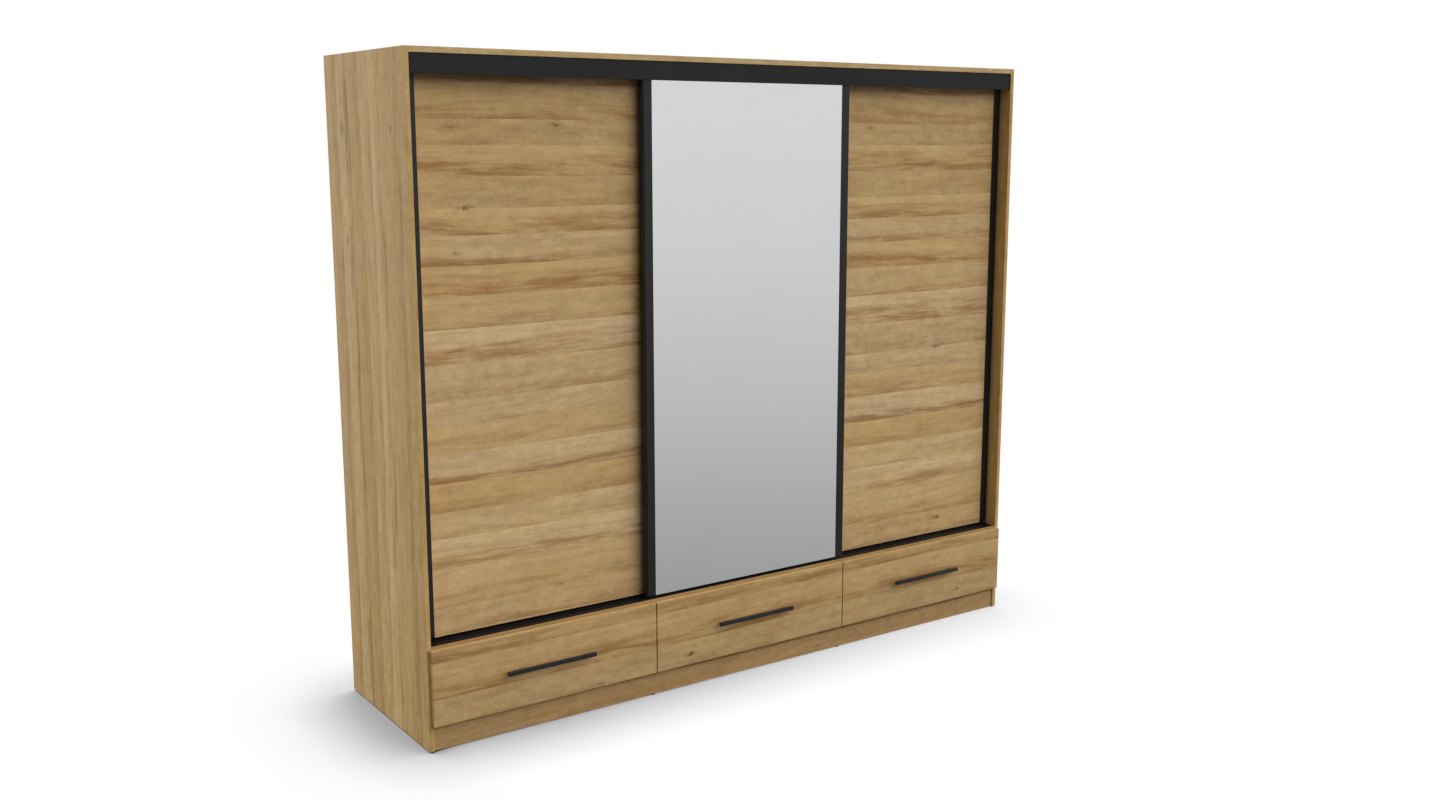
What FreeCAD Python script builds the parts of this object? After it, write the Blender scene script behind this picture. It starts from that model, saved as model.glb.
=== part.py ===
"""Three-door sliding wardrobe with three drawers, as a parametric document.

Frame: millimetres, +Z up, +Y towards the back. The origin is on the floor, in the middle of the width
and of the whole depth. Pieces are laid out from the plane of the side panels' front edges, and
place() moves that plane to its spot in the frame. Every size is a cell of the sheet "dims".
"""
import FreeCAD, Part
import Sketcher
import os

doc = FreeCAD.newDocument("SlidingWardrobe")

# ---------------------------------------------------------------------------------------------
# Driving dimensions
# ---------------------------------------------------------------------------------------------
DIMENSIONS = {
    # carcass
    "total_width": 2500, "total_height": 2167, "total_depth": 650, "board": 16, "top_board": 18,
    "glide_high": 4, "glide_round": 14, "glide_back": 14,
    "deck_top": 348, "base_top": 88, "inner_back": 634, "plinth_recess": 6,
    "partition_x": 414, "upper_front": 100, "shelf_front": 112, "shelf_play": 0.5,
    "groove_deep": 6, "groove_wide": 3.4, "back_thick": 3,
    "hat_shelf_top": 1796, "shelf_1_top": 716, "shelf_2_top": 1076, "shelf_3_top": 1436,
    "rail_round": 25, "rail_bore": 22, "rail_y": 372, "rail_z": 1722,
    "cam_round": 15, "cam_deep": 12.5, "cam_play": 0.15, "cam_inset": 34,
    "pin_round": 5, "pin_long": 14, "pin_front": 160, "pin_rear": 580,
    # tracks
    "track_end_gap": 9, "fascia_front": 4, "fascia_thick": 2, "fascia_bottom": 2089,
    "track_wall": 1.6, "track_leg": 41, "track_roof": 2.6,
    "runway_front": 5, "runway_back": 92, "runway_thick": 1.6, "lip_high": 4, "ridge_high": 5.85,
    # doors
    "door_wide": 870, "door_side_gap": 1, "door_bottom": 357, "door_top": 2115,
    "front_door_y": 10, "rear_door_y": 51, "profile_wide": 35, "profile_deep": 26, "wall": 2,
    "slot_deep": 9, "panel_thick": 16, "rebate": 4, "mirror_thick": 4, "panel_play": 0.5,
    "wheel_line": 26, "wheel_round": 28, "groove_round": 24, "wheel_wide": 8, "wheel_bore": 6.15,
    "axle_round": 6, "axle_z": 366, "wheel_inset": 110, "bracket_wide": 50, "bracket_top": 420,
    "guide_long": 60, "guide_inset": 70, "guide_top": 2136,
    # drawers
    "front_wide": 824, "front_gap": 4, "front_bottom": 89, "front_top": 339, "front_play": 0.5,
    "box_long": 499, "box_bottom": 100, "box_top": 290, "slide_room": 13, "bottom_z": 112,
    "bottom_thick": 3, "bottom_groove": 6,
    "handle_long": 326, "handle_out": 25, "handle_bar": 12, "handle_z": 211, "handle_corner": 2.5,
    "handle_foot": 6, "handle_inset": 35,
    "slide_z": 190, "slide_wall": 1.2, "outer_high": 45, "outer_deep": 9, "outer_long": 500,
    "middle_high": 40, "middle_deep": 8.4, "middle_off": 2.4, "middle_long": 480,
    "inner_high": 34.8, "inner_deep": 8, "inner_long": 496, "slide_front": 6,
}
sheet = doc.addObject("Spreadsheet::Sheet", "dims")
for row, (word, number) in enumerate(DIMENSIONS.items(), start=1):
    sheet.set(f"A{row}", word)
    sheet.set(f"B{row}", str(number))
    sheet.setAlias(f"B{row}", word)
doc.recompute()


class Size:
    """A length that knows both its value and how it is written with the sheet's cells."""

    def __init__(self, value, text):
        self.value, self.text = float(value), text

    def _join(self, other, sign, value, swap=False):
        other = size(other)
        first, second = (other, self) if swap else (self, other)
        return Size(value(first.value, second.value), f"({first.text} {sign} {second.text})")

    def __add__(self, other):
        return self._join(other, "+", lambda a, b: a + b)

    def __radd__(self, other):
        return self._join(other, "+", lambda a, b: a + b, swap=True)

    def __sub__(self, other):
        return self._join(other, "-", lambda a, b: a - b)

    def __rsub__(self, other):
        return self._join(other, "-", lambda a, b: a - b, swap=True)

    def __mul__(self, other):
        return self._join(other, "*", lambda a, b: a * b)

    def __rmul__(self, other):
        return self._join(other, "*", lambda a, b: a * b, swap=True)

    def __truediv__(self, other):
        return self._join(other, "/", lambda a, b: a / b)

    def __neg__(self):
        return Size(-self.value, f"(-1 * {self.text})")


def size(item):
    """A Size from a Size or a plain number."""
    return item if isinstance(item, Size) else Size(item, f"({item})")


def cell(word):
    """The Size of one cell of the sheet."""
    return Size(DIMENSIONS[word], "dims." + word)


NODES = []          # every sub-part, in the order it is made


def node(item, label):
    """Give a finished sub-part the name its file gets."""
    item.Label = label
    NODES.append(item)
    return item


def place(item, x=0, y=0, z=0):
    """Put an object's own origin at x, y, z, with y counted from the side panels' front edges."""
    proud = cell("board") + cell("front_play") + cell("handle_out")
    middle = (cell("total_depth") - proud) / 2
    for axis, where in zip("xyz", (size(x), size(y) - middle, size(z))):
        item.setExpression("Placement.Base." + axis, where.text)
    return item


def block(name, x, y, z):
    """A rectangular piece between pairs of limits along X, Y and Z."""
    item = doc.addObject("Part::Box", name)
    for prop, (low, high) in zip(("Length", "Width", "Height"), (x, y, z)):
        item.setExpression(prop, (size(high) - size(low)).text)
    return place(item, x[0], y[0], z[0])


TURN = {"x": FreeCAD.Rotation(FreeCAD.Vector(0, 1, 0), 90),
        "y": FreeCAD.Rotation(FreeCAD.Vector(1, 0, 0), -90),
        "z": FreeCAD.Rotation()}


def rod(name, across, length, start, along="z"):
    """A round bar of a given diameter from a start point along +X, +Y or +Z."""
    item = doc.addObject("Part::Cylinder", name)
    item.setExpression("Radius", (size(across) / 2).text)
    item.setExpression("Height", size(length).text)
    item.Placement = FreeCAD.Placement(FreeCAD.Vector(), TURN[along])
    return place(item, *start)


def group(name, items):
    """Several separate solids kept in one object."""
    item = doc.addObject("Part::Compound", name)
    item.Links = items
    return item


def fuse(name, items):
    item = doc.addObject("Part::MultiFuse", name)
    item.Shapes = items
    return item


def cut(name, base, tool):
    item = doc.addObject("Part::Cut", name)
    item.Base, item.Tool = base, tool
    return item


def body_plane(body, role):
    return next(plane for plane in body.Origin.OriginFeatures if plane.Role == role)


def outline(sketch, corners):
    """A closed outline of straight edges, each corner held from the sketch's origin."""
    first = sketch.GeometryCount
    points = [(size(a), size(b)) for a, b in corners]
    count = len(points)
    for index, (a, b) in enumerate(points):
        c, d = points[(index + 1) % count]
        sketch.addGeometry(Part.LineSegment(FreeCAD.Vector(a.value, b.value, 0),
                                            FreeCAD.Vector(c.value, d.value, 0)), False)
    for index in range(count):
        following = first + (index + 1) % count
        sketch.addConstraint(Sketcher.Constraint("Coincident", first + index, 2, following, 1))
    for index, pair in enumerate(points):
        for kind, ruler, length in (("DistanceX", -2, pair[0]), ("DistanceY", -1, pair[1])):
            if abs(length.value) < 1e-9:
                sketch.addConstraint(Sketcher.Constraint("PointOnObject", first + index, 1, ruler))
                continue
            number = sketch.addConstraint(
                Sketcher.Constraint(kind, -1, 1, first + index, 1, length.value))
            sketch.setExpression(f"Constraints[{number}]", length.text)


def section_body(name, role, outlines):
    """A body with one sketch of closed outlines on an origin plane; inner outlines are holes."""
    body = doc.addObject("PartDesign::Body", name)
    sketch = body.newObject("Sketcher::SketchObject", name + "_section")
    sketch.AttachmentSupport = [(body_plane(body, role), "")]
    sketch.MapMode = "FlatFace"
    for corners in outlines:
        outline(sketch, corners)
    return body, sketch


def extrusion(name, role, outlines, length):
    """A section pushed along its plane's normal."""
    body, sketch = section_body(name, role, outlines)
    pad = body.newObject("PartDesign::Pad", name + "_pad")
    pad.Profile = sketch
    pad.setExpression("Length", size(length).text)
    return body


# ---------------------------------------------------------------------------------------------
# Lengths used by several pieces
# ---------------------------------------------------------------------------------------------
board = cell("board")
half_width = cell("total_width") / 2
inner_x = half_width - board                      # inner faces of the side panels
underside = cell("glide_high")                    # lower edge of every upright board
roof = cell("total_height") - cell("top_board")   # underside of the top panel
deck_top = cell("deck_top")
deck_low = deck_top - board
base_top = cell("base_top")
inner_back = cell("inner_back")
part_x = cell("partition_x")
half_board = board / 2

# the three bays between the side panels and the two pairs of partitions
BAYS = {"left": (-inner_x, -part_x - half_board),
        "middle": (-part_x + half_board, part_x - half_board),
        "right": (part_x + half_board, inner_x)}


# ---------------------------------------------------------------------------------------------
# Carcass boards
# ---------------------------------------------------------------------------------------------
def pin_tools(name, wall_x, side, shelf_tops, across):
    """Rods for shelf pins, or for their holes, in one wall; side is the way out of the wall."""
    rods = []
    start = wall_x - cell("pin_long") / 2
    for level, top in enumerate(shelf_tops):
        for spot in ("pin_front", "pin_rear"):
            z = top - board - cell("pin_round") / 2
            rods.append(rod(f"{name}_{side}_{level}_{spot}", across, cell("pin_long"),
                            (start, cell(spot), z), along="x"))
    return rods


HAT = [cell("hat_shelf_top")]
STACK = HAT + [cell(f"shelf_{n}_top") for n in (1, 2, 3)]
pin_hole = cell("pin_round") + 2 * cell("cam_play")


def side_panel(name, outer_x, inner_face, groove_x, shelf_tops):
    """A full-height side with a groove for the back sheet and holes for the shelf pins."""
    blank = block(name + "_blank", (min_of(outer_x, inner_face), max_of(outer_x, inner_face)),
                  (0, cell("total_depth")), (underside, cell("total_height")))
    groove = block(name + "_groove", (min_of(inner_face, groove_x), max_of(inner_face, groove_x)),
                   (inner_back, inner_back + cell("groove_wide")), (underside, roof + cell("groove_deep")))
    holes = pin_tools(name, inner_face, "hole", shelf_tops, pin_hole)
    node(cut(name + "_cut", blank, group(name + "_tools", [groove] + holes)), name)


def min_of(a, b):
    return a if a.value < b.value else b


def max_of(a, b):
    return a if a.value > b.value else b


groove_deep = cell("groove_deep")
side_panel("left_side_panel", -half_width, -inner_x, -inner_x - groove_deep, HAT)
side_panel("right_side_panel", half_width, inner_x, inner_x + groove_deep, STACK)


def cam_rods(name, face_z, across, deep, rows):
    """Cam discs, or their holes, let into the underside of a board close to its two ends."""
    reach = inner_x - cell("cam_inset")
    return [rod(f"{name}_{n}", across, deep, (x, y, face_z))
            for n, (x, y) in enumerate((x, y) for x in (-reach, reach) for y in rows)]


cam_hole = cell("cam_round") + 2 * cell("cam_play")
top_rows, deck_rows = (130, 590), (130, 590)

top_blank = block("top_blank", (-inner_x, inner_x), (0, cell("total_depth")),
                  (roof, cell("total_height")))
top_groove = block("top_groove", (-inner_x, inner_x),
                   (inner_back, inner_back + cell("groove_wide")), (roof, roof + groove_deep))
top_holes = cam_rods("top_cam_hole", roof, cam_hole, cell("cam_deep") + 0.3, top_rows)
node(cut("top_cut", top_blank, group("top_tools", [top_groove] + top_holes)), "top_panel")

deck_blank = block("deck_blank", (-inner_x, inner_x), (0, inner_back), (deck_low, deck_top))
deck_holes = cam_rods("deck_cam_hole", deck_low, cam_hole, cell("cam_deep") + 0.3, deck_rows)
node(cut("deck_cut", deck_blank, group("deck_tools", deck_holes)), "deck_panel")

cams = (cam_rods("top_cam", roof, cell("cam_round"), cell("cam_deep"), top_rows)
        + cam_rods("deck_cam", deck_low, cell("cam_round"), cell("cam_deep"), deck_rows))
node(group("cam_set", cams), "cam_fittings")

plinth_front = cell("plinth_recess")
plinth_back = plinth_front + board
node(block("plinth_board", (-inner_x, inner_x), (plinth_front, plinth_back),
           (underside, base_top)), "plinth")

node(group("base_set", [block(f"base_{bay}", limits, (plinth_back, inner_back),
                              (base_top - board, base_top)) for bay, limits in BAYS.items()]),
     "base_boards")
node(group("lower_set", [block(f"lower_{name}", (x - half_board, x + half_board),
                               (plinth_back, inner_back), (underside, deck_low))
                         for name, x in (("left", -part_x), ("right", part_x))]),
     "lower_partitions")


def upper_partition(name, x, pins):
    """A partition behind the doors, drilled for shelf pins on the sides that carry shelves."""
    blank = block(name + "_blank", (x - half_board, x + half_board),
                  (cell("upper_front"), inner_back), (deck_top, roof))
    holes = [hole for n, (face, tops) in enumerate(pins)
             for hole in pin_tools(f"{name}_{n}", face, "hole", tops, pin_hole)]
    return cut(name + "_cut", blank, group(name + "_tools", holes))


left_faces = (-part_x - half_board, -part_x + half_board)
right_faces = (part_x - half_board, part_x + half_board)
node(group("upper_set", [
    upper_partition("upper_left", -part_x, [(left_faces[0], HAT), (left_faces[1], HAT)]),
    upper_partition("upper_right", part_x, [(right_faces[0], HAT), (right_faces[1], STACK)])]),
    "upper_partitions")

sheet_y = (inner_back + 0.2, inner_back + 0.2 + cell("back_thick"))
sheet_z = (underside + 12, roof + groove_deep - 1)
edge_x = inner_x + groove_deep - 1
node(group("back_set", [block("back_left", (-edge_x, -part_x - 0.5), sheet_y, sheet_z),
                        block("back_middle", (-part_x, part_x), sheet_y, sheet_z),
                        block("back_right", (part_x + 0.5, edge_x), sheet_y, sheet_z)]),
     "back_sheets")


# ---------------------------------------------------------------------------------------------
# Inside: shelves, shelf pins, hanging rails
# ---------------------------------------------------------------------------------------------
def shelf(bay, top):
    left, right = BAYS[bay]
    play = cell("shelf_play")
    return block(f"shelf_{bay}_{int(top.value)}", (left + play, right - play),
                 (cell("shelf_front"), inner_back - 2), (top - board, top))


SHELVES = [("left", HAT[0]), ("middle", HAT[0])] + [("right", top) for top in STACK]
node(group("shelf_set", [shelf(bay, top) for bay, top in SHELVES]), "shelves")

PIN_WALLS = [(-inner_x, HAT), (left_faces[0], HAT), (left_faces[1], HAT),
             (right_faces[0], HAT), (right_faces[1], STACK), (inner_x, STACK)]
pins = [pin for n, (face, tops) in enumerate(PIN_WALLS)
        for pin in pin_tools(f"pin_{n}", face, "pin", tops, cell("pin_round"))]
node(group("pin_set", pins), "shelf_pins")


def hanging_rail(bay):
    """A tube across a bay; it starts inside its two flanges."""
    left, right = BAYS[bay]
    start = (left + 2, cell("rail_y"), cell("rail_z"))
    tube = rod(f"rail_{bay}_tube", cell("rail_round"), right - left - 4, start, along="x")
    hollow = rod(f"rail_{bay}_bore", cell("rail_bore"), right - left - 4, start, along="x")
    return cut(f"rail_{bay}", tube, hollow)


def rail_flange(name, wall_x, sign):
    """A cup on a wall that holds one end of a tube; sign is +1 when the cup opens towards +X."""
    low, socket = (wall_x, wall_x + 2) if sign > 0 else (wall_x - 14, wall_x - 14)
    y, z = cell("rail_y"), cell("rail_z")
    cup = rod(name + "_cup", 34, 14, (low, y, z), along="x")
    seat = rod(name + "_seat", cell("rail_round") + 0.2, 12, (socket, y, z), along="x")
    plate = rod(name + "_plate", 52, 3, (wall_x if sign > 0 else wall_x - 3, y, z), along="x")
    return cut(name, fuse(name + "_body", [cup, plate]), seat)


node(group("rail_set", [hanging_rail(bay) for bay in ("left", "middle")]), "hanging_rails")
node(group("flange_set", [rail_flange(f"flange_{bay}_{n}", BAYS[bay][n], 1 - 2 * n)
                          for bay in ("left", "middle") for n in (0, 1)]), "rail_flanges")


# ---------------------------------------------------------------------------------------------
# Floor glides
# ---------------------------------------------------------------------------------------------
def glide(n, x, y):
    return rod(f"glide_{n}", cell("glide_round"), cell("glide_high"), (x, y, 0))


outer_glide = half_width - half_board
spots = [(x, y) for x in (-outer_glide, -part_x, part_x, outer_glide)
         for y in (cell("glide_back"), size(600))]
node(group("glide_set", [glide(n, x, y) for n, (x, y) in enumerate(spots)]), "floor_glides")


# ---------------------------------------------------------------------------------------------
# Tracks
# ---------------------------------------------------------------------------------------------
track_wall = cell("track_wall")
fascia_front = cell("fascia_front")
fascia_back = fascia_front + cell("fascia_thick")
node(block("fascia_strip", (-inner_x, inner_x), (fascia_front, fascia_back),
           (cell("fascia_bottom"), roof)), "fascia")

# top track: a roof strip with three legs under it, one channel for each door line
channel = cell("rear_door_y") - cell("front_door_y")
mid_y = fascia_back + channel - 4.6               # the leg between the two door lines
end_y = mid_y + channel - 1
track_span = 2 * inner_x - cell("track_end_gap") - 1
track_x = (-inner_x + 1, -inner_x + 1 + track_span)
ceiling = roof - cell("track_roof")
top_strips = [block("top_track_roof", track_x, (fascia_back, end_y + track_wall), (ceiling, roof))]
for leg_name, leg_y in (("front", fascia_back), ("middle", mid_y), ("rear", end_y)):
    top_strips.append(block(f"top_track_{leg_name}_leg", track_x, (leg_y, leg_y + track_wall),
                            (roof - cell("track_leg"), ceiling)))
node(group("top_track_set", top_strips), "top_track")

# bottom track: a flat runway with a lip at each edge and a running ridge under each door line
front_ridge = cell("front_door_y") + cell("wheel_line")
rear_ridge = cell("rear_door_y") + cell("wheel_line")
floor_t, lip, ridge = cell("runway_thick"), cell("lip_high"), cell("ridge_high")
run_0, run_1 = cell("runway_front"), cell("runway_back")


def rib(y, high, half=1.0):
    """Four corners of an upright rib on the runway, from front to back."""
    return [(y - half, floor_t), (y - half + 0.3, high), (y + half - 0.3, high), (y + half, floor_t)]


middle_rib = (front_ridge + rear_ridge) / 2
bottom_section = ([(run_0, 0), (run_0, lip - 0.6), (run_0 + 0.6, lip), (run_0 + track_wall, lip),
                   (run_0 + track_wall, floor_t)]
                  + rib(run_0 + 14, floor_t + 1.2) + rib(front_ridge, ridge)
                  + rib(middle_rib, floor_t + 1.2) + rib(rear_ridge, ridge)
                  + [(run_1 - track_wall, floor_t), (run_1 - track_wall, lip), (run_1, lip),
                     (run_1, 0)])
bottom_track = extrusion("bottom_track_body", "YZ_Plane", [bottom_section], track_span)
node(place(bottom_track, -inner_x + 1, 0, deck_top), "bottom_track")


# ---------------------------------------------------------------------------------------------
# Doors
# ---------------------------------------------------------------------------------------------
door_high = cell("door_top") - cell("door_bottom")
profile_wide, profile_deep = cell("profile_wide"), cell("profile_deep")
wall, rebate = cell("wall"), cell("rebate")
slot_x = profile_wide - cell("slot_deep")
slot_back = wall + cell("panel_thick")


def profile_section(sign):
    """The upright's hollow section: x from its outer edge towards the panel, y from its face."""
    outer = [(rebate, 0), (profile_wide, 0), (profile_wide, wall), (slot_x, wall),
             (slot_x, slot_back), (profile_wide, slot_back), (profile_wide, slot_back + wall),
             (slot_x, slot_back + wall), (slot_x, profile_deep), (0, profile_deep), (0, rebate),
             (rebate, rebate)]
    inside = slot_x - wall
    hollow = [(rebate + wall, wall), (inside, wall), (inside, profile_deep - wall),
              (wall, profile_deep - wall), (wall, rebate + wall), (rebate + wall, rebate + wall)]
    return [[(sign * size(x), y) for x, y in corners] for corners in (outer, hollow)]


def upright(name, x, y, sign):
    return place(extrusion(name, "XY_Plane", profile_section(sign), door_high),
                 x, y, cell("door_bottom"))


def roller_bracket(name, x, y):
    """A plate behind the panel with a roof, an outer cheek and the axle of one roller."""
    half = cell("bracket_wide") / 2
    plate_y = y + slot_back
    cheek = y + cell("wheel_line") + cell("wheel_wide") / 2 + 1.5
    roof_z = cell("axle_z") + cell("wheel_round") / 2 + 3
    low = cell("axle_z") - 7
    pieces = [
        block(name + "_plate", (x - half, x + half), (plate_y, plate_y + wall),
              (low, cell("bracket_top"))),
        block(name + "_roof", (x - half, x + half), (plate_y, cheek + wall), (roof_z, roof_z + wall)),
        block(name + "_cheek", (x - half, x + half), (cheek, cheek + wall), (low, roof_z + wall)),
        rod(name + "_axle", cell("axle_round"), cheek - plate_y, (x, plate_y, cell("axle_z")), "y")]
    return fuse(name, pieces)


def roller(name, x, y):
    """A grooved wheel on the bracket's axle, running on the ridge of its door line."""
    rim, groove, bore = (cell(word) / 2 for word in ("wheel_round", "groove_round", "wheel_bore"))
    half = cell("wheel_wide") / 2
    section = [(-half, bore), (-half, rim), (-half + 1.2, rim), (-half + 2.2, groove),
               (half - 2.2, groove), (half - 1.2, rim), (half, rim), (half, bore)]
    body, sketch = section_body(name + "_body", "YZ_Plane", [section])
    turn = body.newObject("PartDesign::Revolution", name + "_turn")
    turn.Profile = sketch
    turn.ReferenceAxis = (sketch, ["H_Axis"])
    turn.Angle = 360
    node(place(body, x, y + cell("wheel_line"), cell("axle_z")), name)


def top_guide(name, x, y, low_y, high_y):
    """A nylon block on the door's top edge, wide enough to be steered by the channel."""
    half = cell("guide_long") / 2
    top = cell("door_top")
    head = block(name + "_head", (x - half, x + half), (low_y, high_y), (top, cell("guide_top")))
    tongue = block(name + "_tongue", (x - half, x + half), (y + slot_back, y + slot_back + 3),
                   (top - 30, top + 1))
    return fuse(name, [head, tongue])


def door(name, left, y, channel_low, channel_high, mirrored):
    """One sliding door from its left edge; every piece of it moves together but the rollers."""
    right = left + cell("door_wide")
    low_x, high_x = left + slot_x + cell("panel_play"), right - slot_x - cell("panel_play")
    tall = (cell("door_bottom"), cell("door_top"))
    face = y + wall
    if mirrored:
        glass_back = face + cell("mirror_thick")
        node(block(name + "_glass", (low_x, high_x), (face, glass_back), tall), "mirror_glass")
        node(block(name + "_board", (low_x, high_x), (glass_back, y + slot_back), tall),
             name + "_backing")
    else:
        node(block(name + "_board", (low_x, high_x), (face, y + slot_back), tall), name + "_panel")
    node(upright(name + "_upright_1", left, y, 1), name + "_left_profile")
    node(upright(name + "_upright_2", right, y, -1), name + "_right_profile")
    wheel_x = (left + cell("wheel_inset"), right - cell("wheel_inset"))
    node(group(name + "_brackets", [roller_bracket(f"{name}_bracket_{n}", x, y)
                                    for n, x in enumerate(wheel_x, start=1)]),
         name + "_roller_brackets")
    for n, x in enumerate(wheel_x, start=1):
        roller(f"{name}_roller_{n}", x, y)
    guide_x = (left + cell("guide_inset"), right - cell("guide_inset"))
    node(group(name + "_guides", [top_guide(f"{name}_guide_{n}", x, y, channel_low, channel_high)
                                  for n, x in enumerate(guide_x, start=1)]),
         name + "_top_guides")


door_start = inner_x - cell("door_side_gap")
front_channel = (fascia_back + track_wall + 0.6, mid_y - 0.6)
rear_channel = (mid_y + track_wall + 0.6, end_y - 0.6)
door("left_door", -door_start, cell("rear_door_y"), *rear_channel, mirrored=False)
door("mirror_door", -(cell("door_wide") / 2), cell("front_door_y"), *front_channel, mirrored=True)
door("right_door", door_start - cell("door_wide"), cell("rear_door_y"), *rear_channel,
     mirrored=False)


# ---------------------------------------------------------------------------------------------
# Drawers
# ---------------------------------------------------------------------------------------------
def handle(name, x, y):
    """A square bar with rounded ends, on two round feet set in from its ends."""
    half, out, bar = cell("handle_long") / 2, cell("handle_out"), cell("handle_bar")
    z, foot = cell("handle_z"), cell("handle_foot")
    plan = [(-half, 0), (half, 0), (half, bar), (-half, bar)]
    body = extrusion(name + "_bar", "XY_Plane", [plan], bar)
    doc.recompute()
    pad = body.Tip
    corners = [f"Edge{n}" for n, edge in enumerate(pad.Shape.Edges, start=1)
               if abs(edge.tangentAt(edge.FirstParameter).z) > 0.9]
    rounding = body.newObject("PartDesign::Fillet", name + "_rounding")
    rounding.Base = (pad, corners)
    rounding.setExpression("Radius", cell("handle_corner").text)
    place(body, x, y - out, z)
    feet = [rod(f"{name}_foot_{n}", foot, out - bar / 2,
                (x + side * (half - cell("handle_inset")), y - out + bar / 2, z + bar / 2), along="y")
            for n, side in enumerate((-1, 1))]
    node(fuse(name + "_whole", [body] + feet), name)


def channel_member(name, wall_x, sign, high, deep, y):
    """A C-shaped slide member: its web at wall_x, open in the direction of sign."""
    half, wall_t = size(high) / 2, cell("slide_wall")
    z = cell("slide_z")
    far = wall_x + sign * deep
    web = wall_x + sign * wall_t
    solid = block(name + "_full", (min_of(wall_x, far), max_of(wall_x, far)), y,
                  (z - half, z + half))
    room = block(name + "_room", (min_of(web, far), max_of(web, far)), (y[0] - 1, y[1] + 1),
                 (z - half + wall_t, z + half - wall_t))
    return cut(name, solid, room)


def drawer_box(name, left, right, back_y):
    """Two sides grooved for the bottom sheet, and a back that stands on the sheet."""
    low, high, sheet_z = cell("box_bottom"), cell("box_top"), cell("bottom_z")
    front_y = -cell("front_play")
    in_left, in_right = left + board, right - board
    groove = cell("bottom_groove")
    channel_z = (sheet_z, sheet_z + cell("bottom_thick") + 0.2)
    pieces = []
    for side, limits, room in (("l", (left, in_left), (in_left - groove, in_left)),
                               ("r", (in_right, right), (in_right, in_right + groove))):
        wall_board = block(f"{name}_{side}", limits, (front_y, back_y), (low, high))
        slot = block(f"{name}_{side}_slot", room, (front_y, back_y), channel_z)
        pieces.append(cut(f"{name}_{side}_cut", wall_board, slot))
    pieces.append(block(f"{name}_back", (in_left, in_right), (back_y - board, back_y),
                        (channel_z[1], high)))
    node(group(name + "_set", pieces), name)
    node(block(name + "_sheet", (in_left - groove + 1, in_right + groove - 1), (front_y, back_y),
               (sheet_z, sheet_z + cell("bottom_thick"))), name.replace("_box", "_bottom"))


def drawer(bay, centre):
    """Front, handle, box and slides of the drawer in one bay; returns its cabinet members."""
    name = bay + "_drawer"
    bay_left, bay_right = BAYS[bay]
    room = cell("slide_room")
    face_y = -cell("front_play")
    half = cell("front_wide") / 2
    node(block(name + "_board", (centre - half, centre + half), (face_y - board, face_y),
               (cell("front_bottom"), cell("front_top"))), name + "_front")
    handle(name + "_handle", centre, face_y - board)
    drawer_box(name + "_box", bay_left + room, bay_right - room, face_y + cell("box_long"))
    start = cell("slide_front")
    cabinet, middle, inner = [], [], []
    for n, (wall_x, sign) in enumerate(((bay_left, 1), (bay_right, -1))):
        cabinet.append(channel_member(
            f"{name}_outer_{n}", wall_x, sign, cell("outer_high"), cell("outer_deep"),
            (start, start + cell("outer_long"))))
        middle.append(channel_member(
            f"{name}_middle_{n}", wall_x + sign * cell("middle_off"), sign, cell("middle_high"),
            cell("middle_deep"), (start + 10, start + 10 + cell("middle_long"))))
        inner.append(channel_member(
            f"{name}_inner_{n}", wall_x + sign * room, -sign, cell("inner_high"),
            cell("inner_deep"), (size(1), 1 + cell("inner_long"))))
    node(group(name + "_middle_set", middle), name + "_slide_middles")
    node(group(name + "_inner_set", inner), name + "_slide_inners")
    return cabinet


pitch = cell("front_wide") + cell("front_gap")
members = drawer("left", -pitch) + drawer("middle", size(0)) + drawer("right", pitch)
node(group("cabinet_set", members), "slide_cabinet_members")

# ---------------------------------------------------------------------------------------------
# Recompute, check, write
# ---------------------------------------------------------------------------------------------
doc.recompute()
for item in doc.Objects:
    if {"Invalid", "Error"} & set(item.State):
        raise RuntimeError(f"{item.Name} failed: {item.State}")
for item in NODES:
    if item.Shape.isNull() or not item.Shape.isValid() or not item.Shape.Solids:
        raise RuntimeError(f"{item.Label} has no valid solid")

os.makedirs("parts", exist_ok=True)
for item in NODES:
    item.Shape.exportStep(f"parts/{item.Label}.step")
whole = Part.makeCompound([item.Shape for item in NODES]).BoundBox
print(len(NODES), "sub-parts,", sum(len(item.Shape.Solids) for item in NODES), "solids")
print(f"box x {whole.XMin:.1f} {whole.XMax:.1f}  y {whole.YMin:.1f} {whole.YMax:.1f}"
      f"  z {whole.ZMin:.1f} {whole.ZMax:.1f}")
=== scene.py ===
# %% [markdown]
# # A wardrobe with two oak doors, a mirror door and three drawers
# The CAD model gives the exact place of every board, profile and fitting. Here each of them gets the
# shape and the finish that the eye sees: rounded edges, rolled sections, oak décor, black anodised
# aluminium and a silvered mirror. The first step loads the CAD model.

# %% Load the CAD frame
from math import pi, radians

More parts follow.
